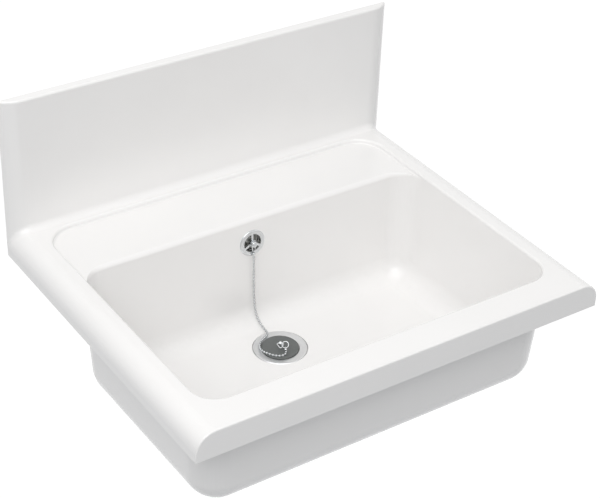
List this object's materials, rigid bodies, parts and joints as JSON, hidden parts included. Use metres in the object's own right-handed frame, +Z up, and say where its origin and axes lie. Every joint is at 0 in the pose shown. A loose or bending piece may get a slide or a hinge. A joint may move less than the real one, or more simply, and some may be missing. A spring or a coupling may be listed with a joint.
{
  "type": "wall-hung mop service sink",
  "caption": "Wall-hung rectangular service sink with a rolled rim, upstand, flanged waste, overflow and a rubber plug on a ball chain.",
  "frame": {"origin": "on the wall plane, on the centreline, at the height of the top of the deck", "axes": "+X right seen from the front, +Y into the wall, +Z up"},
  "size_m": [0.56, 0.457, 0.4182],
  "materials": {
    "sink_white": "gloss white moulded composite",
    "rail_steel": "grey powder coat",
    "brass": "turned",
    "screw_steel": "stainless",
    "waste_steel": "satin stainless",
    "seal_rubber": "matt black",
    "fitting_plastic": "white moulded",
    "hose_plastic": "corrugated",
    "plug_rubber": "dark grey",
    "bright_chrome": "polished",
    "chain_steel": "polished ball chain"
  },
  "bodies": {
    "sink": {"sink_body": "sink_white", "wall_rail": "rail_steel", "rail_inserts": "brass", "rail_washers": "screw_steel", "rail_screws": "screw_steel", "waste_flange": "waste_steel", "flange_gasket": "seal_rubber", "collar_gasket": "seal_rubber", "overflow_collar": "fitting_plastic", "nut_washer": "seal_rubber", "waste_nut": "fitting_plastic", "overflow_rose": "bright_chrome", "overflow_screw": "bright_chrome", "overflow_gasket": "seal_rubber", "overflow_elbow": "fitting_plastic", "overflow_hose": "hose_plastic", "hose_clips": "screw_steel", "chain_hanging": "chain_steel"},
    "plug": {"plug_body": "plug_rubber", "plug_eye": "bright_chrome", "chain_on_plug": "chain_steel"},
    "plug_link": {"plug_link": "bright_chrome", "plug_ring": "bright_chrome", "plug_coupling": "bright_chrome"},
    "overflow_link": {"overflow_link": "bright_chrome", "overflow_coupling": "bright_chrome"}
  },
  "joints": [
    {"name": "plug_lift", "type": "slide", "parent": "sink", "child": "plug", "axis": [0, 0, 1], "range_m": [0, 0.08]},
    {"name": "plug_link_tilt", "type": "hinge", "parent": "plug", "child": "plug_link", "pos_m": [0, -0.194, -0.1542], "axis": [-0.866, 0.5, 0], "range_deg": [0, 90]},
    {"name": "overflow_link_swing", "type": "hinge", "parent": "sink", "child": "overflow_link", "pos_m": [0, -0.12183, -0.041], "axis": [0, 0.9986, -0.0523], "range_deg": [-40, 40]}
  ]
}
